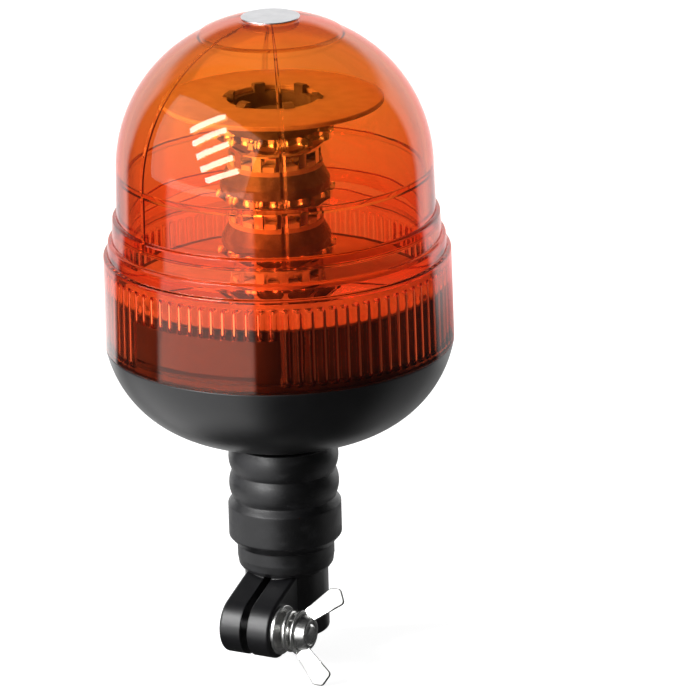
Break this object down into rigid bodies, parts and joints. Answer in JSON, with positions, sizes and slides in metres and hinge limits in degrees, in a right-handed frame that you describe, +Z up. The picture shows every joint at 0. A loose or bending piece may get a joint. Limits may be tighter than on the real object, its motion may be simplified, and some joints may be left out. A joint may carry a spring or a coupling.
{
  "type": "flashing warning light",
  "caption": "Amber LED warning light: a clear stepped dome over a lamp tower on a black bowl, with a ribbed flexible stalk and a wing-nut clamp socket for a lamp pole.",
  "frame": {"origin": "centre of the pole socket's mouth, where the pole enters", "axes": "+Z up along the pole and the lamp's axis, clamp ears towards -Y, clamp bolt along X with its wing nut towards +X"},
  "size_m": [0.128, 0.128, 0.2427],
  "materials": {
    "amber_lens": "clear moulded",
    "black_plastic": "satin",
    "boot_rubber": "matte",
    "bright_steel": "zinc plated",
    "plain_steel": "satin",
    "contact_brass": "satin",
    "silver_foil": "satin",
    "white_plastic": "satin",
    "grey_plastic": "satin",
    "dark_plastic": "satin",
    "reflector_silver": "metallised",
    "led_yellow": "gloss",
    "board_green": "satin",
    "red_lead": "satin",
    "black_lead": "satin"
  },
  "bodies": {
    "socket": {"clamp_socket": "black_plastic", "clamp_bolt": "bright_steel", "clamp_washer": "bright_steel", "clamp_spring": "bright_steel", "contact_carrier": "grey_plastic", "contact_spring": "plain_steel", "earth_ring": "contact_brass"},
    "nut_washer": {"nut_washer": "bright_steel"},
    "wing_nut": {"wing_nut": "bright_steel"},
    "contact_pin": {"contact_pin": "contact_brass", "contact_tag": "contact_brass"},
    "stalk": {"rubber_boot": "boot_rubber", "positive_lead": "red_lead", "earth_lead": "black_lead"},
    "head": {"stalk_stem": "plain_steel", "stem_washer": "plain_steel", "stem_nut": "plain_steel", "base_bowl": "black_plastic", "driver_board": "board_green", "driver_components": "dark_plastic", "board_screws": "plain_steel", "tower_lead": "red_lead", "link_pins": "contact_brass", "dome_seal": "boot_rubber", "dome_lens": "amber_lens", "top_foil": "silver_foil", "deck_plate": "white_plastic", "deck_screws": "plain_steel", "tower_core": "grey_plastic", "tower_screws": "plain_steel", "tower_disc": "white_plastic", "disc_clip_ring": "grey_plastic", "core_cap": "grey_plastic", "led_board_lower": "white_plastic", "led_board_middle": "white_plastic", "led_board_upper": "white_plastic", "leds_lower": "led_yellow", "leds_middle": "led_yellow", "leds_upper": "led_yellow", "reflector_lower": "reflector_silver", "reflector_middle": "reflector_silver", "reflector_upper": "reflector_silver", "spacer_middle": "dark_plastic", "spacer_upper": "dark_plastic"}
  },
  "joints": [
    {"name": "stalk_bend_fore", "type": "hinge", "parent": "socket", "child": "stalk", "pos_m": [0, 0, 0.0525], "axis": [1, 0, 0], "range_deg": [-25, 25], "stiffness_Nm_per_rad": 4, "deforming": ["rubber_boot", "positive_lead", "earth_lead"]},
    {"name": "stalk_bend_side", "type": "hinge", "parent": "stalk", "child": "head", "pos_m": [0, 0, 0.0585], "axis": [0, 1, 0], "range_deg": [-25, 25], "stiffness_Nm_per_rad": 4, "deforming": ["rubber_boot", "positive_lead", "earth_lead"]},
    {"name": "nut_travel", "type": "slide", "parent": "socket", "child": "nut_washer", "axis": [1, 0, 0], "range_m": [0, 0.0025], "deforming": ["clamp_spring"]},
    {"name": "wing_nut_turn", "type": "hinge", "parent": "nut_washer", "child": "wing_nut", "pos_m": [0.0187, -0.025, 0.0088], "axis": [1, 0, 0], "range_deg": [0, 721], "deforming": ["clamp_spring"]},
    {"name": "contact_press", "type": "slide", "parent": "socket", "child": "contact_pin", "axis": [0, 0, 1], "range_m": [0, 0.002], "stiffness_N_per_m": 400, "springref_m": -0.002, "deforming": ["contact_spring", "positive_lead"]}
  ],
  "couplings": [
    {"joint": "wing_nut_turn", "follows": "nut_travel", "rad_per_m": 5026.5}
  ]
}
